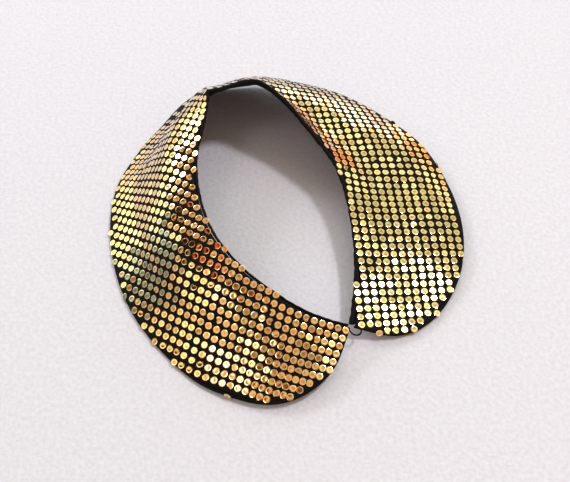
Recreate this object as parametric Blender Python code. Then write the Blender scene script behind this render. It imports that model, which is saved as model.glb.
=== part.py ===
"""Detachable collar lying on a table, its two fronts nearly meeting.

Every piece follows one surface, the face of the collar.  Twenty-two sections
across the collar give that surface, from the left front round the back of the
neck to the right front.
"""

import math
from collections import namedtuple

import bpy
import numpy as np

MM = 0.001

# Flat cut, in mm
WIDTH = 64.0          # collar from neck seam to outer edge
HALF_NECK = 202.0     # neck seam from centre back to one front
CORNER_LONG = 82.0    # rounded front corner, along the neck seam
CORNER_DEEP = 49.0    # the same corner, across the collar
CORNER_POWER = 2.2    # 2 is an ellipse, more is squarer

# Cloth, in mm
TOP_THICK = 1.2       # face cloth
UNDER_THICK = 1.0     # lining
SEAM_GAP = 0.46
HEM = 3.0             # outer strip of the lining, flat where it lies on the table
REST_HEIGHT = 3.6     # an outer edge lower than this lies on the table
REST_FADE = 1.4       # rise over which the flat hem fades out
UNDER_INSET = 1.0     # lining is cut this much smaller
BAND_WIDE = 2.4       # rolled edge along the neck
LOOP_THICK = 0.9      # thread loop at the front
STACK = TOP_THICK + SEAM_GAP + UNDER_THICK

# Thread loop between the fronts, in mm
LOOP_CENTRE = (38.2, -66.5, 9.5)
LOOP_RADIUS = 3.3
LOOP_START = 38.0     # degrees, at the right front
LOOP_SWEEP = -200.0   # degrees, round to the left front
LOOP_TILT = 0.35      # rise toward the left front, mm for each mm

# How finely the pieces are divided
PROFILE_STEPS = 46
CORNER_COLUMNS = 22
MIDDLE_COLUMNS = 44
ROWS = 13
BAND_SIDES = 10
LOOP_SIDES = 10
LOOP_STATIONS = 20

# One row for each section across the collar.
# seam: place along the neck seam from centre back, minus is the left front.
# x, y: where the neck seam is on the table.  heading: way the section runs out.
# width: eased width.  neck to outer: height of the face over the table at five
# equal places from the neck seam to the outer edge.
Section = namedtuple(
    "Section", "seam x y heading width neck quarter half three_quarter outer"
)
SECTIONS = [
    Section(-202, 34.6, -66.3, 250, 61, 12, 9.5, 7, 4.5, 2.6),
    Section(-173, 8, -61.7, 249, 61, 22, 17.5, 12, 6.5, 2.6),
    Section(-158, -5.4, -55.3, 247, 61.5, 27, 21.5, 14.5, 8, 2.6),
    Section(-141, -18.8, -46.4, 240, 63, 31, 25.5, 17.5, 9.5, 2.6),
    Section(-126, -29.2, -36.7, 230, 63, 34, 28.5, 20, 10.5, 2.6),
    Section(-109, -39.5, -22.8, 214, 64, 36, 31, 22, 11, 2.6),
    Section(-83, -48.8, 0.8, 192, 65, 38, 33, 23, 11.5, 2.6),
    Section(-56, -52.7, 27.5, 172, 66, 42, 35.5, 24, 12, 2.6),
    Section(-27, -49, 54, 152, 65.5, 47, 39.5, 27, 12.5, 2.6),
    Section(-12, -47.8, 67.5, 131, 63.5, 49, 39.5, 26.5, 12.5, 2.6),
    Section(-4, -47.2, 75, 103, 67, 50, 39, 26.5, 12.5, 2.6),
    Section(4, -39.6, 77.5, 100, 67.5, 50, 39, 27, 14, 2.6),
    Section(27.5, -17, 85, 95, 64, 49, 37.5, 28, 17, 4),
    Section(49, 0.5, 74, 75, 63.5, 43, 31, 26, 18.5, 8),
    Section(65, 10.9, 64.5, 58, 64, 36.5, 25.5, 22.5, 16, 8),
    Section(82, 21.6, 51.9, 43, 65, 31.5, 22, 20, 15, 8),
    Section(99.5, 31.8, 37.7, 31, 66, 27, 19.5, 17.5, 14, 8),
    Section(117, 37.5, 20.6, 17, 66.5, 23.5, 18, 15, 12.5, 7),
    Section(138, 40.9, 0.4, 7, 66.5, 20.5, 16, 13, 10.5, 6),
    Section(160, 42.4, -22.1, 1, 65, 17, 13, 10, 7.5, 4),
    Section(181, 41.3, -43.4, -3, 63, 13.5, 9.5, 6, 3.5, 2.6),
    Section(202, 38.2, -63.8, -7, 61, 10, 6, 3, 2.6, 2.6),
]
TABLE = np.array(SECTIONS, dtype=float)
SEAMS = TABLE[:, 0]
HEIGHT_PLACES = np.array([0.0, 0.25, 0.5, 0.75, 1.0])


def blend(places, values, wanted):
    """Smooth curve through rows of values, read at the wanted places."""
    gaps = np.diff(places)
    slopes = np.diff(values, axis=0) / gaps[:, None]
    tangents = np.empty_like(values)
    weighted = slopes[:-1] * gaps[1:, None] + slopes[1:] * gaps[:-1, None]
    tangents[1:-1] = weighted / (gaps[1:] + gaps[:-1])[:, None]
    tangents[0] = 1.5 * slopes[0] - 0.5 * tangents[1]
    tangents[-1] = 1.5 * slopes[-1] - 0.5 * tangents[-2]
    wanted = np.clip(wanted, places[0], places[-1])
    i = np.clip(np.searchsorted(places, wanted, side="right") - 1, 0, len(gaps) - 1)
    u = ((wanted - places[i]) / gaps[i])[:, None]
    reach = gaps[i][:, None]
    start = (2 * u**3 - 3 * u**2 + 1) * values[i]
    leave = (u**3 - 2 * u**2 + u) * reach * tangents[i]
    end = (3 * u**2 - 2 * u**3) * values[i + 1]
    arrive = (u**3 - u**2) * reach * tangents[i + 1]
    return start + leave + end + arrive


def face(seam, across):
    """Points of the face, in mm: a row for each seam place, a column for each
    distance from the neck seam."""
    row = blend(SEAMS, TABLE, seam)
    steps = np.linspace(0.0, 1.0, PROFILE_STEPS + 1)
    rise = blend(HEIGHT_PLACES, row[:, 5:10].T, steps).T
    rise = np.maximum(rise, STACK)
    slant = row[:, 4:5] / PROFILE_STEPS
    level = np.sqrt(np.maximum(slant**2 - np.diff(rise, axis=1) ** 2, (0.12 * slant) ** 2))
    run = np.concatenate([np.zeros((len(row), 1)), np.cumsum(level, axis=1)], axis=1)
    place = across / WIDTH * PROFILE_STEPS
    i = np.clip(np.floor(place).astype(int), 0, PROFILE_STEPS - 1)
    u = place - i
    n = np.arange(len(row))[:, None]
    out = run[n, i] * (1 - u) + run[n, i + 1] * u
    height = rise[n, i] * (1 - u) + rise[n, i + 1] * u
    heading = np.radians(row[:, 3:4])
    x = row[:, 1:2] + out * np.cos(heading)
    y = row[:, 2:3] + out * np.sin(heading)
    return np.stack([x, y, height], axis=2)


def face_normals(seam, across):
    """Upward normals of the face at the same places as its points."""
    along = face(seam + 1.0, across) - face(seam - 1.0, across)
    outward = face(seam, across + 1.0) - face(seam, across - 1.0)
    normals = np.cross(along, outward)
    return normals / np.linalg.norm(normals, axis=2, keepdims=True)


def cut_width(seam):
    """Width of the flat cut at a seam place, less toward the round corners."""
    into = np.clip((np.abs(seam) - (HALF_NECK - CORNER_LONG)) / CORNER_LONG, 0.0, 1.0)
    kept = (1.0 - into**CORNER_POWER) ** (1.0 / CORNER_POWER)
    return WIDTH - CORNER_DEEP * (1.0 - kept)


def seam_places(end_inset):
    """Places along the neck seam, closer together round the front corners."""
    turn = np.linspace(0.0, math.pi / 2, CORNER_COLUMNS + 1)
    corner = HALF_NECK - CORNER_LONG + CORNER_LONG * np.sin(turn)
    middle = np.linspace(-corner[0], corner[0], MIDDLE_COLUMNS + 1)
    places = np.concatenate([-corner[:0:-1], middle, corner[1:]])
    return places * (HALF_NECK - end_inset) / HALF_NECK


def add_piece(name, points, faces, colour):
    """Mesh object from points in mm, with its own material."""
    mesh = bpy.data.meshes.new(name)
    mesh.from_pydata([tuple(p) for p in np.asarray(points) * MM], [], faces)
    mesh.validate()
    piece = bpy.data.objects.new(name, mesh)
    bpy.context.scene.collection.objects.link(piece)
    material = bpy.data.materials.new(name)
    material.use_nodes = True
    shader = material.node_tree.nodes["Principled BSDF"]
    shader.inputs["Base Color"].default_value = (*colour, 1.0)
    shader.inputs["Roughness"].default_value = 0.7
    mesh.materials.append(material)
    return piece


def add_layer(name, inset, over, under, colour):
    """One cloth layer between two depths below the face."""
    seam = seam_places(inset)
    cut = cut_width(seam * HALF_NECK / (HALF_NECK - inset))
    rows = (cut - HEM)[:, None] * np.linspace(0.0, 1.0, ROWS)[None, :]
    across = np.column_stack([rows, cut - inset])
    points = face(seam, across)
    normals = face_normals(seam, across)
    upper = points - over * normals
    lower = points - under * normals
    upper[..., 2] = np.maximum(upper[..., 2], STACK - over)
    lower[..., 2] = np.maximum(lower[..., 2], STACK - under)
    if under == STACK:
        lifted = (points[:, -1:, 2] - REST_HEIGHT) / REST_FADE
        lower[:, -2:, 2] *= np.clip(lifted, 0.0, 1.0)
    columns, rows = across.shape
    count = columns * rows
    vertices = np.concatenate([upper.reshape(-1, 3), lower.reshape(-1, 3)])
    faces = []
    for c in range(columns - 1):
        for r in range(rows - 1):
            a = c * rows + r
            b = a + rows
            faces.append((a, b, b + 1, a + 1))
            faces.append((count + a, count + a + 1, count + b + 1, count + b))
        near = c * rows
        far = near + rows - 1
        faces.append((near, count + near, count + near + rows, near + rows))
        faces.append((far, far + rows, count + far + rows, count + far))
    last = (columns - 1) * rows
    for r in range(rows - 1):
        faces.append((r, r + 1, count + r + 1, count + r))
        a = last + r
        faces.append((a, count + a, count + a + 1, a + 1))
    return add_piece(name, vertices, faces, colour)


def add_tube(name, rings, colour):
    """Closed body through rings of points, capped at both ends."""
    stations, sides = rings.shape[:2]
    faces = []
    for s in range(stations - 1):
        for k in range(sides):
            a = s * sides + k
            b = s * sides + (k + 1) % sides
            faces.append((a, b, b + sides, a + sides))
    faces.append(tuple(reversed(range(sides))))
    last = (stations - 1) * sides
    faces.append(tuple(last + k for k in range(sides)))
    return add_piece(name, rings.reshape(-1, 3), faces, colour)


def add_neck_band():
    """Rolled edge that runs along the neck seam."""
    seam = seam_places(0.6)
    turn = np.arange(BAND_SIDES) * 2 * math.pi / BAND_SIDES
    centre = -SEAM_GAP - BAND_WIDE / 2
    across = centre + BAND_WIDE / 2 * np.cos(turn)
    depth = STACK / 2 * (1.0 - np.sin(turn))
    across = np.repeat(across[None, :], len(seam), axis=0)
    points = face(seam, across)
    neck = face_normals(seam, np.full((len(seam), 1), 1.5))
    return add_tube("neck_band", points - depth[None, :, None] * neck, (0.02, 0.02, 0.022))


def add_thread_loop():
    """Small loop of thread that spans the gap between the two fronts."""
    turn = np.radians(LOOP_START + LOOP_SWEEP * np.linspace(0.0, 1.0, LOOP_STATIONS))
    outward = np.stack([np.cos(turn), np.sin(turn), -LOOP_TILT * np.cos(turn)], axis=1)
    path = np.array(LOOP_CENTRE) + LOOP_RADIUS * outward
    side = np.arange(LOOP_SIDES) * 2 * math.pi / LOOP_SIDES
    upright = np.array([0.0, 0.0, 1.0])
    swing = outward[:, None, :] * np.cos(side)[None, :, None]
    swing = swing + upright * np.sin(side)[None, :, None]
    rings = path[:, None, :] + LOOP_THICK / 2 * swing
    return add_tube("thread_loop", rings, (0.015, 0.015, 0.017))


def centre_on_origin(pieces):
    """Move all pieces so that the middle of their box stands on the origin."""
    corners = np.array([v.co for piece in pieces for v in piece.data.vertices])
    low = corners.min(axis=0)
    high = corners.max(axis=0)
    shift = np.array([-(low[0] + high[0]) / 2, -(low[1] + high[1]) / 2, -low[2]])
    for piece in pieces:
        for vertex in piece.data.vertices:
            vertex.co = [vertex.co[k] + shift[k] for k in range(3)]


def build():
    for old in list(bpy.data.objects):
        bpy.data.objects.remove(old, do_unlink=True)
    top = add_layer("top_collar", 0.4, 0.0, TOP_THICK, (0.55, 0.33, 0.09))
    under = add_layer(
        "under_collar", UNDER_INSET, TOP_THICK + SEAM_GAP, STACK, (0.02, 0.02, 0.022)
    )
    band = add_neck_band()
    loop = add_thread_loop()
    centre_on_origin([top, under, band, loop])


build()
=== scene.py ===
"""Detachable collar faced with gold sequins, lying on a pale table.

The cloth follows the same surface as the solids: twenty-two sections across the
collar.  Sequins sit in straight rows on the flat cut, and each one is carried
from its place on the cut to its place on the cloth.
"""

import math
from collections import namedtuple

import bpy
import numpy as np
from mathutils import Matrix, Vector


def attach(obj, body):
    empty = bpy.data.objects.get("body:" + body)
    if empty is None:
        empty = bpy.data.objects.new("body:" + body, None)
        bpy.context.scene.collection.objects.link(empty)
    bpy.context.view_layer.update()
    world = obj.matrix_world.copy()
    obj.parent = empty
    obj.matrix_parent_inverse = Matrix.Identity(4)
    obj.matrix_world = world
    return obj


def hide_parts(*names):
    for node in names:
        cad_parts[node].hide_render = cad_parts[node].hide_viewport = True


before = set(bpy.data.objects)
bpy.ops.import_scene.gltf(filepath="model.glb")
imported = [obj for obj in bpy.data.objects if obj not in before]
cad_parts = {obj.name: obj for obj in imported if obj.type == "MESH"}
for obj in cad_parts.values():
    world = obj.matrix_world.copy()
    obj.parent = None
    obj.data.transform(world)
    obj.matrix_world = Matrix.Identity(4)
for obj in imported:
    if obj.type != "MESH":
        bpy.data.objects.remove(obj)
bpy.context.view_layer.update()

MM = 0.001

# Flat cut, in mm
WIDTH = 64.0          # collar from neck seam to outer edge
HALF_NECK = 202.0     # neck seam from centre back to one front
NECK_RADIUS = 92.0    # curve of the neck seam
FRONT_LONG = 72.0     # flatter curve of the neck seam at each front
FRONT_RADIUS = 210.0
CORNER_LONG = 82.0    # rounded front corner, along the neck seam
CORNER_DEEP = 49.0    # the same corner, across the collar
CORNER_POWER = 2.2    # 2 is an ellipse, more is squarer

# Cloth, in mm
STACK = 2.6           # all layers together
SKIN = 0.4            # thickness of one sheet of cloth
LINING_INSET = 1.4    # lining stops this far inside the turned edge
EDGE_RADIUS = STACK / 2
EDGE_TURN = 190.0     # degrees that the face cloth turns round the outline
CREASE_END = 4.0      # creases end this far inside the outer edge
CREASE_FADE = 12.0    # and fade out over this
PLACE = (0.145, -11.33, 0.0)  # table point of the sections to the part's origin

# Rolled edge along the neck seam, in mm
BAND_GAP = 0.3
BAND_SHORT = 0.6      # it stops this far from each front
# Places along the neck seam and the width at each
BAND_WIDTHS = [(-202, 1.6), (-14, 1.6), (4, 2.4), (120, 2.6), (202, 3.2)]
# How unevenly it is rolled.  share: of its width.  per_mm: radians of the wave for
# each mm of seam.  start: radians.
Pucker = namedtuple("Pucker", "share per_mm start")
PUCKERS = [Pucker(0.06, 1.15, 0.0), Pucker(0.05, 0.47, 1.0)]

# Sequins, in mm
SEQUIN_RADIUS = 1.95
PITCH_ACROSS = 5.0
PITCH_ALONG = 4.7
ROWS_TURNED = 7.2     # degrees from centre back
ROW_START = (-24.9, 23.9)  # centre back, counted in sequins
COUNT_ACROSS = (-60, 90)   # sequins counted far enough to cover the cut
COUNT_ALONG = (-90, 60)
EDGE_REACH = 0.7      # they go this far past the outline
TIP_START = 0.8       # and tip round it from this far inside
NECK_REACH = 1.0      # they go this far past the neck seam
RIGHT_NECK_REACH = 2.2
RIGHT_FRONT = 100.0   # place along the seam where the right front starts
SEQUIN_TILT = 2.5     # degrees, how unevenly they sit
SEQUIN_SIDES = 12
# Half section of one sequin.  share: radius as a share of the sequin's.
# height: over the cloth, in mm.  rim highlight: 1 where a pale highlight is painted into the
# film's colour.
Ring = namedtuple("Ring", "share height rim")
SEQUIN_RINGS = [
    Ring(0.0, 0.13, 0.0),
    Ring(0.50, 0.12, 0.0),
    Ring(0.62, 0.135, 1.0),
    Ring(0.90, 0.145, 1.0),
    Ring(1.0, 0.11, 0.5),
]
SEQUIN_SEED = 7

# Thread loop between the fronts, in mm
LOOP_CENTRE = (38.2, -66.5, 9.5)
LOOP_RADIUS = 3.3
LOOP_START = 38.0     # degrees
LOOP_SWEEP = -200.0   # degrees
LOOP_TILT = 0.35      # drop for each mm toward the right
LOOP_THICK = 1.0
LOOP_PLIES = 2
LOOP_TWIST = 46.0     # radians that the plies turn along the loop
PLY_DEPTH = 0.1       # groove between plies, as a share of the thread's radius

# Camera, in mm
CAMERA_ELEVATION = 54.0  # degrees
CAMERA_AWAY = 550.0
CAMERA_LENS = 58.5
CAMERA_SENSOR = 36.0

# Table and lamps, in metres
TABLE_SIZE = 6.0
# power: watts.
Lamp = namedtuple("Lamp", "name place size power colour")
LAMPS = [
    Lamp("window_light", (-0.85, 0.80, 0.78), 0.36, 6.2, "#FFFFFF"),
    Lamp("ceiling_light", (0.68, 0.18, 1.32), 0.18, 10.5, "#FFFAF4"),
]

# Room light by side.  way: toward the side.  start, end: cosines between which
# it grows.  colour: linear.
Glow = namedtuple("Glow", "way start end colour")
ROOM_BASE = (0.72, 0.56, 0.41)
ROOM_GLOWS = [
    Glow((0.35, 0.61, 0.71), 0.74, 0.80, (0.48, 0.76, 0.60)),
    Glow((0.09, 0.99, 0.09), 0.86, 0.92, (1.0, 1.5, 1.9)),
    Glow((-0.74, 0.62, 0.26), 0.88, 0.93, (0.75, 0.92, 0.72)),
    Glow((-0.76, -0.18, 0.62), 0.968, 0.978, (0.50, 0.60, 0.40)),
    Glow((-0.76, -0.28, 0.59), 0.994, 0.997, (1.6, 1.7, 1.5)),
    Glow((-0.35, -0.31, 0.88), 0.991, 0.995, (2.4, 2.6, 2.4)),
]
# Dark or warm things in the room: colour is the share of the light that they leave.
ROOM_SHADES = [
    Glow((-0.94, 0.17, 0.26), 0.965, 0.98, (0.40, 0.70, 1.2)),
    Glow((-0.61, 0.09, 0.79), 0.976, 0.987, (0.05, 0.04, 0.05)),
    Glow((-0.45, 0.08, 0.89), 0.990, 0.996, (1.4, 0.3, 0.2)),
    Glow((0.53, 0.84, 0.14), 0.975, 0.988, (1.1, 0.36, 0.14)),
    Glow((-0.10, -0.18, 0.98), 0.990, 0.995, (0.40, 0.28, 0.24)),
]
# Furniture and wall make the light uneven: how many patches, the part of the noise
# that makes them, and the share of the light in the darkest and the brightest.
ROOM_CLUTTER = 3.2
CLUTTER_NOISE = (0.40, 0.60)
CLUTTER_LIGHT = (0.6, 1.5)

# One row for each section across the collar.
# seam: place along the neck seam from centre back, minus is the left front.
# x, y: where the neck seam is on the table.  heading: way the section runs out.
# width: eased width.  neck to outer: height of the face over the table at five
# equal places from the neck seam to the outer edge.
Section = namedtuple(
    "Section", "seam x y heading width neck quarter half three_quarter outer"
)
SECTIONS = [
    Section(-202, 34.6, -66.3, 250, 61, 12, 9.5, 7, 4.5, 2.6),
    Section(-173, 8, -61.7, 249, 61, 22, 17.5, 12, 6.5, 2.6),
    Section(-158, -5.4, -55.3, 247, 61.5, 27, 21.5, 14.5, 8, 2.6),
    Section(-141, -18.8, -46.4, 240, 63, 31, 25.5, 17.5, 9.5, 2.6),
    Section(-126, -29.2, -36.7, 230, 63, 34, 28.5, 20, 10.5, 2.6),
    Section(-109, -39.5, -22.8, 214, 64, 36, 31, 22, 11, 2.6),
    Section(-83, -48.8, 0.8, 192, 65, 38, 33, 23, 11.5, 2.6),
    Section(-56, -52.7, 27.5, 172, 66, 42, 35.5, 24, 12, 2.6),
    Section(-27, -49, 54, 152, 65.5, 47, 39.5, 27, 12.5, 2.6),
    Section(-12, -47.8, 67.5, 131, 63.5, 49, 39.5, 26.5, 12.5, 2.6),
    Section(-4, -47.2, 75, 103, 67, 50, 39, 26.5, 12.5, 2.6),
    Section(4, -39.6, 77.5, 100, 67.5, 50, 39, 27, 14, 2.6),
    Section(27.5, -17, 85, 95, 64, 49, 37.5, 28, 17, 4),
    Section(49, 0.5, 74, 75, 63.5, 43, 31, 26, 18.5, 8),
    Section(65, 10.9, 64.5, 58, 64, 36.5, 25.5, 22.5, 16, 8),
    Section(82, 21.6, 51.9, 43, 65, 31.5, 22, 20, 15, 8),
    Section(99.5, 31.8, 37.7, 31, 66, 27, 19.5, 17.5, 14, 8),
    Section(117, 37.5, 20.6, 17, 66.5, 23.5, 18, 15, 12.5, 7),
    Section(138, 40.9, 0.4, 7, 66.5, 20.5, 16, 13, 10.5, 6),
    Section(160, 42.4, -22.1, 1, 65, 17, 13, 10, 7.5, 4),
    Section(181, 41.3, -43.4, -3, 63, 13.5, 9.5, 6, 3.5, 2.6),
    Section(202, 38.2, -63.8, -7, 61, 10, 6, 3, 2.6, 2.6),
]
TABLE = np.array(SECTIONS, dtype=float)
SEAMS = TABLE[:, 0]
HEIGHT_PLACES = np.array([0.0, 0.25, 0.5, 0.75, 1.0])
PROFILE_STEPS = 46    # short straight steps across the collar
STEEPEST = 0.12       # least level run of a step, as a share of its length

# Small creases of the cloth.
# seam, across: middle.  turn: degrees from the neck seam's line.  long, wide:
# half sizes.  rise: height, minus for a dent.
Crease = namedtuple("Crease", "seam across turn long wide rise")
CREASES = [
    Crease(62, 22, 8, 34, 6, -0.7),
    Crease(84, 30, 82, 26, 6, 0.8),
    Crease(103, 34, 80, 18, 4, -0.35),
    Crease(112, 40, 84, 16, 4, 0.35),
    Crease(38, 12, 5, 26, 6, 0.5),
    Crease(-28, 20, 4, 34, 5, 0.5),
    Crease(-70, 20, 6, 40, 6, 0.4),
    Crease(-95, 12, 60, 12, 6, -0.6),
    Crease(-128, 24, 84, 22, 6, 0.5),
    Crease(-150, 30, 80, 24, 6, -0.4),
    Crease(-172, 26, 84, 20, 5, 0.35),
    Crease(-158, 15, 97, 13, 2.4, 0.6),
    Crease(-131, 26, 102, 13, 2.4, 0.5),
    Crease(50, 7, 4, 22, 3, 0.35),
    Crease(66, 36, 12, 18, 4, -0.4),
    Crease(92, 16, 70, 14, 3, 0.35),
    Crease(140, 46, 70, 20, 7, 0.4),
    Crease(166, 24, 75, 22, 6, -0.35),
]


def blend(places, values, wanted):
    """Smooth curve through rows of values, read at the wanted places."""
    gaps = np.diff(places)
    slopes = np.diff(values, axis=0) / gaps[:, None]
    tangents = np.empty_like(values)
    weighted = slopes[:-1] * gaps[1:, None] + slopes[1:] * gaps[:-1, None]
    tangents[1:-1] = weighted / (gaps[1:] + gaps[:-1])[:, None]
    tangents[0] = 1.5 * slopes[0] - 0.5 * tangents[1]
    tangents[-1] = 1.5 * slopes[-1] - 0.5 * tangents[-2]
    wanted = np.clip(wanted, places[0], places[-1])
    i = np.clip(np.searchsorted(places, wanted, side="right") - 1, 0, len(gaps) - 1)
    u = ((wanted - places[i]) / gaps[i])[:, None]
    reach = gaps[i][:, None]
    start = (2 * u**3 - 3 * u**2 + 1) * values[i]
    leave = (u**3 - 2 * u**2 + u) * reach * tangents[i]
    end = (3 * u**2 - 2 * u**3) * values[i + 1]
    arrive = (u**3 - u**2) * reach * tangents[i + 1]
    return start + leave + end + arrive


def smooth_face(seam, across):
    """Points of the collar's face without creases, in mm.  seam and across
    are lists of the same length."""
    row = Section(*blend(SEAMS, TABLE, seam).T)
    steps = np.linspace(0.0, 1.0, PROFILE_STEPS + 1)
    heights = np.stack([row.neck, row.quarter, row.half, row.three_quarter, row.outer])
    rise = np.maximum(blend(HEIGHT_PLACES, heights, steps).T, STACK)
    slant = row.width[:, None] / PROFILE_STEPS
    level = np.sqrt(np.maximum(slant**2 - np.diff(rise, axis=1) ** 2, (STEEPEST * slant) ** 2))
    run = np.concatenate([np.zeros((len(seam), 1)), np.cumsum(level, axis=1)], axis=1)
    place = across / WIDTH * PROFILE_STEPS
    i = np.clip(np.floor(place).astype(int), 0, PROFILE_STEPS - 1)
    u = place - i
    n = np.arange(len(seam))
    out = run[n, i] * (1 - u) + run[n, i + 1] * u
    height = rise[n, i] * (1 - u) + rise[n, i + 1] * u
    heading = np.radians(row.heading)
    x = row.x + out * np.cos(heading)
    y = row.y + out * np.sin(heading)
    return np.stack([x, y, height], axis=1) + np.array(PLACE)


def slope_normals(surface, seam, across, step=1.0):
    """Upward normals of a surface, from the points beside each place."""
    seam = np.clip(seam, step - HALF_NECK, HALF_NECK - step)
    along = surface(seam + step, across) - surface(seam - step, across)
    outward = surface(seam, across + step) - surface(seam, across - step)
    normals = np.cross(along, outward)
    return normals / np.linalg.norm(normals, axis=1, keepdims=True)


def crease_rise(seam, across):
    """How far the creases lift or sink the cloth at each place."""
    total = np.zeros_like(seam)
    for crease in CREASES:
        turn = math.radians(crease.turn)
        du = seam - crease.seam
        dv = across - crease.across
        along = (du * math.cos(turn) + dv * math.sin(turn)) / crease.long
        aside = (dv * math.cos(turn) - du * math.sin(turn)) / crease.wide
        total += crease.rise * np.exp(-(along**2) - aside**2)
    return total * np.clip((WIDTH - CREASE_END - across) / CREASE_FADE, 0.0, 1.0)


def creased_face(seam, across):
    """Points of the face with its creases."""
    points = smooth_face(seam, across)
    normals = slope_normals(smooth_face, seam, across)
    return points + normals * crease_rise(seam, across)[:, None]


def cut_width(seam):
    """Width of the flat cut at a seam place, less toward the round corners."""
    into = np.clip((np.abs(seam) - (HALF_NECK - CORNER_LONG)) / CORNER_LONG, 0.0, 1.0)
    kept = (1.0 - into**CORNER_POWER) ** (1.0 / CORNER_POWER)
    return WIDTH - CORNER_DEEP * (1.0 - kept)


def seam_places(corner_columns, middle_columns):
    """Places along the neck seam, closer together round the front corners."""
    turn = np.linspace(0.0, math.pi / 2, corner_columns + 1)
    corner = HALF_NECK - CORNER_LONG + CORNER_LONG * np.sin(turn)
    middle = np.linspace(-corner[0], corner[0], middle_columns + 1)
    return np.concatenate([-corner[:0:-1], middle, corner[1:]])


def linear_colour(hex_text):
    """Linear colour from an sRGB hex value, as the shader wants it."""
    parts = [int(hex_text[i : i + 2], 16) / 255 for i in (1, 3, 5)]
    linear = [c / 12.92 if c <= 0.04045 else ((c + 0.055) / 1.055) ** 2.4 for c in parts]
    return (*linear, 1.0)


def add_node(tree, kind, values=None, links=None, **settings):
    """New shader node.  settings are its own properties, values what its inputs
    hold and links the sockets that feed them, each input by name or number."""
    node = tree.nodes.new(kind)
    for name, setting in settings.items():
        setattr(node, name, setting)
    for key, value in (values or {}).items():
        node.inputs[key].default_value = value
    for key, socket in (links or {}).items():
        tree.links.new(socket, node.inputs[key])
    return node


def new_material(name):
    """Material with its tree and Principled shader."""
    material = bpy.data.materials.new(name)
    material.use_nodes = True
    tree = material.node_tree
    return material, tree, tree.nodes["Principled BSDF"]


def gold_film():
    """Gold film pressed on clear plastic: a sharp mirror, deeper in colour on some
    sequins, with a pale highlight painted into the colour of each rim."""
    material, tree, shader = new_material("gold_mirror_film")
    tone = add_node(tree, "ShaderNodeAttribute", attribute_name="tone")
    ramp = add_node(tree, "ShaderNodeValToRGB", links={"Fac": tone.outputs["Fac"]})
    ramp.color_ramp.elements[0].color = linear_colour("#E7A24E")
    ramp.color_ramp.elements[1].color = linear_colour("#F0C47C")
    # The pale rim is a painted highlight: a paler colour mixed into the film on each sequin's
    # rim, the same under any light.
    rim = add_node(tree, "ShaderNodeAttribute", attribute_name="rim")
    film = add_node(
        tree, "ShaderNodeMixRGB",
        values={"Color2": linear_colour("#F9D79B")},
        links={"Fac": rim.outputs["Fac"], "Color1": ramp.outputs["Color"]},
    )
    tree.links.new(film.outputs["Color"], shader.inputs["Base Color"])
    shader.inputs["Metallic"].default_value = 1.0
    shader.inputs["Roughness"].default_value = 0.07
    shader.inputs["Coat Weight"].default_value = 1.0
    shader.inputs["Coat Roughness"].default_value = 0.08
    return material


def black_cloth(name, hex_text, thread_mm, sheen):
    """Black cotton cloth or thread, dull all over.  Its plain weave is drawn as a
    grain of the thread's size, because single threads are too fine to show."""
    material, tree, shader = new_material(name)
    place = add_node(tree, "ShaderNodeTexCoord")
    weave = add_node(
        tree, "ShaderNodeTexNoise",
        values={"Scale": 1.0 / (thread_mm * MM), "Detail": 2.0},
        links={"Vector": place.outputs["Object"]},
    )
    bump = add_node(
        tree, "ShaderNodeBump",
        values={"Strength": 0.5, "Distance": 0.1 * MM},
        links={"Height": weave.outputs["Fac"]},
    )
    tree.links.new(bump.outputs["Normal"], shader.inputs["Normal"])
    shader.inputs["Base Color"].default_value = linear_colour(hex_text)
    shader.inputs["Roughness"].default_value = 0.9
    shader.inputs["Specular IOR Level"].default_value = 0.15
    shader.inputs["Sheen Weight"].default_value = sheen
    shader.inputs["Sheen Roughness"].default_value = 0.4
    return material


def pale_table():
    """Pale painted table top, slightly grained like paper, which breaks up its
    shine and the edges of shadows."""
    material, tree, shader = new_material("pale_table")
    grain_mm = 2.4
    place = add_node(tree, "ShaderNodeTexCoord")
    grain = add_node(
        tree, "ShaderNodeTexNoise",
        values={"Scale": 1.0 / (grain_mm * MM), "Detail": 3.0},
        links={"Vector": place.outputs["Object"]},
    )
    bump = add_node(
        tree, "ShaderNodeBump",
        values={"Strength": 0.6, "Distance": 0.6 * MM},
        links={"Height": grain.outputs["Fac"]},
    )
    tree.links.new(bump.outputs["Normal"], shader.inputs["Normal"])
    tint = add_node(tree, "ShaderNodeValToRGB", links={"Fac": grain.outputs["Fac"]})
    dark, pale = tint.color_ramp.elements
    dark.color = linear_colour("#BCBBCD")
    dark.position = 0.3
    pale.color = linear_colour("#C8C7D9")
    pale.position = 0.7
    tree.links.new(tint.outputs["Color"], shader.inputs["Base Color"])
    shader.inputs["Roughness"].default_value = 0.7
    return material


def add_mesh(name, points, faces, material):
    """Smooth mesh object from points in mm."""
    mesh = bpy.data.meshes.new(name)
    mesh.from_pydata((np.asarray(points) * MM).tolist(), [], faces)
    mesh.materials.append(material)
    mesh.polygons.foreach_set("use_smooth", [True] * len(mesh.polygons))
    mesh.update()
    piece = bpy.data.objects.new(name, mesh)
    bpy.context.scene.collection.objects.link(piece)
    return piece


def grid_shell(outer, inner):
    """Points and faces of a closed thin sheet between two grids of points."""
    columns, rows = outer.shape[:2]
    count = columns * rows
    points = np.concatenate([outer.reshape(-1, 3), inner.reshape(-1, 3)])
    faces = []
    for c in range(columns - 1):
        for r in range(rows - 1):
            a = c * rows + r
            b = a + rows
            faces.append((a, b, b + 1, a + 1))
            faces.append((count + a, count + a + 1, count + b + 1, count + b))
        near = c * rows
        far = near + rows - 1
        faces.append((near, count + near, count + near + rows, near + rows))
        faces.append((far, far + rows, count + far + rows, count + far))
    last = (columns - 1) * rows
    for r in range(rows - 1):
        a = last + r
        faces.append((r, r + 1, count + r + 1, count + r))
        faces.append((a, count + a, count + a + 1, a + 1))
    return points, faces


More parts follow.
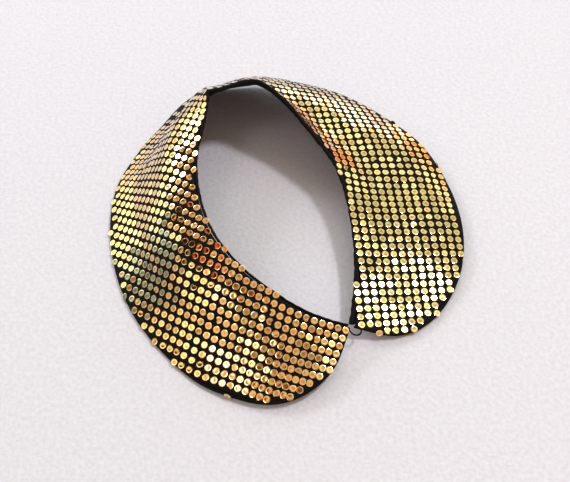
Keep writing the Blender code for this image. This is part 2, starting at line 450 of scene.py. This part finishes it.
def add_sheet(name, inset, over, material):
    """Thin sheet of cloth at a depth below the face."""
    seam = seam_places(corner_columns=26, middle_columns=70) * (HALF_NECK - inset) / HALF_NECK
    cut = cut_width(seam * HALF_NECK / (HALF_NECK - inset)) - inset
    rows = 31
    shares = np.linspace(0.0, 1.0, rows)
    across = cut[:, None] * shares[None, :]
    flat_seam = np.repeat(seam, rows)
    points = creased_face(flat_seam, across.ravel())
    normals = slope_normals(creased_face, flat_seam, across.ravel())
    outer = points - over * normals
    inner = points - (over + SKIN) * normals
    outer[:, 2] = np.maximum(outer[:, 2], STACK - over)
    inner[:, 2] = np.maximum(inner[:, 2], STACK - over - SKIN)
    shape = (len(seam), rows, 3)
    points, faces = grid_shell(outer.reshape(shape), inner.reshape(shape))
    return add_mesh(name, points, faces, material)


def outline_places():
    """Seam and across of the outline, from the left front's neck corner round
    the outer edge to the right front's."""
    seam = seam_places(corner_columns=40, middle_columns=90)
    cut = cut_width(seam)
    steps = 7
    front = np.linspace(0.0, cut[0], steps + 1)[:-1]
    seam = np.concatenate([np.full(steps, -HALF_NECK), seam, np.full(steps, HALF_NECK)])
    across = np.concatenate([front, cut, front[::-1]])
    return seam, across


def edge_frame(seam, across, tangent):
    """Normal and outward direction of the outline at each place."""
    normals = slope_normals(creased_face, seam, across)
    outward = np.cross(normals, tangent)
    outward /= np.linalg.norm(outward, axis=1, keepdims=True)
    return normals, outward


def add_turned_edge(material):
    """Face cloth where it turns under round the whole outline."""
    seam, across = outline_places()
    points = creased_face(seam, across)
    tangent = np.gradient(points, axis=0)
    normals, outward = edge_frame(seam, across, tangent)
    steps = 12
    turn = np.radians(np.linspace(0.0, EDGE_TURN, steps))
    middle = points - EDGE_RADIUS * normals
    way = normals[:, None, :] * np.cos(turn)[None, :, None]
    way = way + outward[:, None, :] * np.sin(turn)[None, :, None]
    outer = middle[:, None, :] + EDGE_RADIUS * way
    inner = middle[:, None, :] + (EDGE_RADIUS - SKIN) * way
    outer[..., 2] = np.maximum(outer[..., 2], 0.0)
    inner[..., 2] = np.maximum(inner[..., 2], SKIN)
    points, faces = grid_shell(outer, inner)
    return add_mesh("turned_edge", points, faces, material)


def add_tube(name, rings, material):
    """Closed body through rings of points."""
    stations, sides = rings.shape[:2]
    faces = []
    for s in range(stations - 1):
        for k in range(sides):
            a = s * sides + k
            b = s * sides + (k + 1) % sides
            faces.append((a, b, b + sides, a + sides))
    last = (stations - 1) * sides
    faces.append(tuple(reversed(range(sides))))
    faces.append(tuple(last + k for k in range(sides)))
    return add_mesh(name, rings.reshape(-1, 3), faces, material)


def add_neck_edge(material):
    """Rolled edge along the neck seam, a little uneven."""
    seam = seam_places(corner_columns=40, middle_columns=140)
    seam = seam * (HALF_NECK - BAND_SHORT) / HALF_NECK
    sides = 14
    turn = np.arange(sides) * 2 * math.pi / sides
    pucker = sum(p.share * np.sin(seam * p.per_mm + p.start) for p in PUCKERS)
    half = np.interp(seam, *zip(*BAND_WIDTHS)) / 2 * (1.0 + pucker)
    across = -BAND_GAP - half[:, None] + half[:, None] * np.cos(turn)
    depth = STACK / 2 * (1.0 - (1.0 + pucker[:, None]) * np.sin(turn))
    flat_seam = np.repeat(seam, sides)
    points = creased_face(flat_seam, across.ravel()).reshape(len(seam), sides, 3)
    beside = np.full(len(seam), 1.5)
    normals = slope_normals(creased_face, seam, beside)
    return add_tube("neck_edge", points - depth[:, :, None] * normals[:, None, :], material)


def add_loop(material):
    """Twisted thread loop that spans the gap between the two fronts."""
    stations = 60
    share = np.linspace(0.0, 1.0, stations)
    turn = np.radians(LOOP_START + LOOP_SWEEP * share)
    outward = np.stack([np.cos(turn), np.sin(turn), -LOOP_TILT * np.cos(turn)], axis=1)
    path = np.array(LOOP_CENTRE) + np.array(PLACE) + LOOP_RADIUS * outward
    sides = 12
    side = np.arange(sides) * 2 * math.pi / sides
    twist = side[None, :] * LOOP_PLIES + share[:, None] * LOOP_TWIST
    radius = LOOP_THICK / 2 * (1.0 - PLY_DEPTH + PLY_DEPTH * np.cos(twist))
    swing = outward[:, None, :] * np.cos(side)[None, :, None]
    swing = swing + np.array([0.0, 0.0, 1.0]) * np.sin(side)[None, :, None]
    rings = path[:, None, :] + radius[:, :, None] * swing
    return add_tube("closing_loop", rings, material)


def row_places():
    """Seam and across of every sequin of the straight rows that falls on the flat
    cut or just beside it."""
    turn = math.radians(ROWS_TURNED)
    i, j = np.meshgrid(np.arange(*COUNT_ACROSS), np.arange(*COUNT_ALONG), indexing="ij")
    u = (i.ravel() - ROW_START[0]) * PITCH_ACROSS
    v = (j.ravel() - ROW_START[1]) * PITCH_ALONG
    x = u * math.cos(turn) - v * math.sin(turn)
    y = u * math.sin(turn) + v * math.cos(turn)
    side = np.where(x < 0, -1.0, 1.0)

    # Round the back the neck seam is one arc
    bend = (HALF_NECK - FRONT_LONG) / NECK_RADIUS
    angle = np.arctan2(np.abs(x), y + NECK_RADIUS)
    seam = angle * NECK_RADIUS
    across = np.hypot(x, y + NECK_RADIUS) - NECK_RADIUS

    # and at each front a flatter one
    beyond = angle > bend
    shift = FRONT_RADIUS - NECK_RADIUS
    front_x = np.abs(x) + shift * math.sin(bend)
    front_y = y + NECK_RADIUS + shift * math.cos(bend)
    front_seam = (np.arctan2(front_x, front_y) - bend) * FRONT_RADIUS
    seam = np.where(beyond, HALF_NECK - FRONT_LONG + front_seam, seam) * side
    across = np.where(beyond, np.hypot(front_x, front_y) - FRONT_RADIUS, across)

    margin = 3.0
    near = (np.abs(seam) < HALF_NECK + margin) & (across > -margin) & (across < WIDTH + margin)
    return seam[near], across[near]


def add_values(piece, name, values):
    """One number for each point of a piece, for its material."""
    attribute = piece.data.attributes.new(name, "FLOAT", "POINT")
    attribute.data.foreach_set("value", values.astype(np.float32))


def add_sequins(material):
    """Every sequin as one mesh: each sits on the cloth with a small tilt of its
    own, and those at the edge go round it."""
    rng = np.random.default_rng(SEQUIN_SEED)
    seam, across = row_places()
    edge_seam, edge_across = outline_places()
    scale = 1.0 + np.clip(across, 0, None) / NECK_RADIUS
    gap_s = (seam[:, None] - edge_seam[None, :]) * scale[:, None]
    gap_t = across[:, None] - edge_across[None, :]
    nearest = np.argmin(np.hypot(gap_s, gap_t), axis=1)
    inside = (np.abs(seam) < HALF_NECK) & (across < cut_width(seam))
    distance = np.hypot(gap_s, gap_t)[np.arange(len(seam)), nearest]
    outside = np.where(inside, -distance, distance)
    neck_reach = np.where(seam > RIGHT_FRONT, RIGHT_NECK_REACH, NECK_REACH)
    keep = (outside < EDGE_REACH) & (across > -neck_reach)
    seam, across, outside, nearest = (a[keep] for a in (seam, across, outside, nearest))

    points = creased_face(seam, across)
    normals = slope_normals(creased_face, seam, across, step=2.0)
    edge_points = creased_face(edge_seam, edge_across)
    edge_normals, edge_out = edge_frame(
        edge_seam, edge_across, np.gradient(edge_points, axis=0)
    )
    over = outside > -TIP_START
    angle = ((outside + TIP_START) / EDGE_RADIUS)[over]
    n = edge_normals[nearest[over]]
    e = edge_out[nearest[over]]
    way = n * np.cos(angle)[:, None] + e * np.sin(angle)[:, None]
    points[over] = edge_points[nearest[over]] - EDGE_RADIUS * n + EDGE_RADIUS * way
    normals[over] = way

    tilt = np.radians(SEQUIN_TILT) * rng.standard_normal((len(seam), 3))
    normals = normals + tilt
    normals /= np.linalg.norm(normals, axis=1, keepdims=True)
    first = np.cross(normals, np.array([0.0, 1.0, 0.0]))
    first /= np.linalg.norm(first, axis=1, keepdims=True)
    second = np.cross(normals, first)

    turn = np.arange(SEQUIN_SIDES) * 2 * math.pi / SEQUIN_SIDES
    rings = [points + normals * SEQUIN_RINGS[0].height]
    # Share of the painted rim highlight for each ring of points.
    pale = [SEQUIN_RINGS[0].rim]
    for ring in SEQUIN_RINGS[1:]:
        radius = ring.share * SEQUIN_RADIUS
        for angle in turn:
            spoke = first * math.cos(angle) + second * math.sin(angle)
            rings.append(points + normals * ring.height + spoke * radius)
            pale.append(ring.rim)
    vertices = np.stack(rings, axis=1)
    per = vertices.shape[1]
    one = []
    for k in range(SEQUIN_SIDES):
        after = (k + 1) % SEQUIN_SIDES
        one.append((0, 1 + k, 1 + after))
        for step in range(len(SEQUIN_RINGS) - 2):
            a = 1 + step * SEQUIN_SIDES
            b = a + SEQUIN_SIDES
            one.append((a + k, b + k, b + after, a + after))
    faces = [tuple(s * per + v for v in face) for s in range(len(seam)) for face in one]
    piece = add_mesh("sequins", vertices.reshape(-1, 3), faces, material)
    add_values(piece, "tone", np.repeat(rng.random(len(seam)), per))
    # Where the painted rim highlight goes on each sequin.
    add_values(piece, "rim", np.tile(pale, len(seam)))
    return piece


def add_table(material):
    """Table top, under the part and far beyond the view."""
    bpy.ops.mesh.primitive_plane_add(size=TABLE_SIZE, location=(0.0, 0.0, 0.0))
    table = bpy.context.object
    table.name = "table_top"
    table.data.materials.append(material)


def add_lamp(lamp):
    """Square soft lamp that faces the collar."""
    data = bpy.data.lights.new(lamp.name, "AREA")
    data.size = lamp.size
    data.energy = lamp.power
    data.color = linear_colour(lamp.colour)[:3]
    light = bpy.data.objects.new(lamp.name, data)
    light.location = lamp.place
    light.rotation_euler = (-Vector(lamp.place)).to_track_quat("-Z", "Y").to_euler()
    bpy.context.scene.collection.objects.link(light)


def add_camera():
    """Camera at the photograph's angle, aimed at the sections' table point."""
    data = bpy.data.cameras.new("camera")
    data.lens = CAMERA_LENS
    data.sensor_width = CAMERA_SENSOR
    data.clip_start = 0.01
    camera = bpy.data.objects.new("camera", data)
    rise = math.radians(CAMERA_ELEVATION)
    away = Vector((0.0, -math.cos(rise), math.sin(rise))) * CAMERA_AWAY
    camera.location = (Vector(PLACE) + away) * MM
    camera.rotation_euler = (math.radians(90.0 - CAMERA_ELEVATION), 0.0, 0.0)
    bpy.context.scene.collection.objects.link(camera)
    bpy.context.scene.camera = camera


def add_side(tree, way, total, side, kind):
    """Room light with one side more in it.  A glow is added to it, and a shade
    leaves a share of it."""
    aim = add_node(
        tree, "ShaderNodeVectorMath", operation="DOT_PRODUCT",
        values={1: Vector(side.way).normalized()}, links={0: way},
    )
    share = add_node(
        tree, "ShaderNodeMapRange", interpolation_type="SMOOTHSTEP",
        values={"From Min": side.start, "From Max": side.end},
        links={"Value": aim.outputs["Value"]},
    )
    mix = add_node(
        tree, "ShaderNodeMixRGB", blend_type=kind,
        values={"Color2": (*side.colour, 1.0)},
        links={"Fac": share.outputs[0], "Color1": total},
    )
    return mix.outputs["Color"]


def light_the_room():
    """Room that is dim and warm in front and bright toward the back, with a few
    dark and warm things in it, and its two lamps."""
    world = bpy.data.worlds.new("room")
    world.use_nodes = True
    tree = world.node_tree
    way = add_node(tree, "ShaderNodeTexCoord").outputs["Generated"]
    base = add_node(tree, "ShaderNodeRGB")
    base.outputs[0].default_value = (*ROOM_BASE, 1.0)
    total = base.outputs[0]
    for side in ROOM_GLOWS:
        total = add_side(tree, way, total, side, "ADD")
    for side in ROOM_SHADES:
        total = add_side(tree, way, total, side, "MULTIPLY")
    clutter = add_node(
        tree, "ShaderNodeTexNoise",
        values={"Scale": ROOM_CLUTTER, "Detail": 3.0}, links={"Vector": way},
    )
    patches = add_node(
        tree, "ShaderNodeMapRange",
        values={
            "From Min": CLUTTER_NOISE[0],
            "From Max": CLUTTER_NOISE[1],
            "To Min": CLUTTER_LIGHT[0],
            "To Max": CLUTTER_LIGHT[1],
        },
        links={"Value": clutter.outputs["Fac"]},
    )
    uneven = add_node(
        tree, "ShaderNodeVectorMath", operation="SCALE",
        links={0: total, "Scale": patches.outputs[0]},
    )
    tree.links.new(uneven.outputs[0], tree.nodes["Background"].inputs["Color"])
    bpy.context.scene.world = world
    for lamp in LAMPS:
        add_lamp(lamp)


def build():
    """All pieces, placed on the part's one body."""
    cloth = black_cloth("black_face_cloth", "#060609", thread_mm=0.35, sheen=0.01)
    lining = black_cloth("black_lining", "#0A090B", thread_mm=0.3, sheen=0.05)
    edge = black_cloth("black_turned_cloth", "#070709", thread_mm=0.35, sheen=0.03)
    thread = black_cloth("black_thread", "#060608", thread_mm=0.2, sheen=0.03)

    face_sheet = add_sheet("face_cloth", 0.0, 0.0, cloth)
    turned = add_turned_edge(cloth)
    lining_sheet = add_sheet("lining_cloth", LINING_INSET, STACK - SKIN, lining)
    neck = add_neck_edge(edge)
    loop = add_loop(thread)
    sequins = add_sequins(gold_film())

    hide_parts("top_collar")
    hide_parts("under_collar")
    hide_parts("neck_band")
    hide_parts("thread_loop")
    for piece, slot in (
        (face_sheet, "sequin_cloth"),
        (turned, "sequin_cloth"),
        (sequins, "sequin_cloth"),
        (lining_sheet, "lining"),
        (neck, "neck_edge"),
        (loop, "thread"),
    ):
        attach(piece, "root")


build()
add_table(pale_table())
light_the_room()
add_camera()
bpy.context.scene.view_settings.view_transform = "Standard"
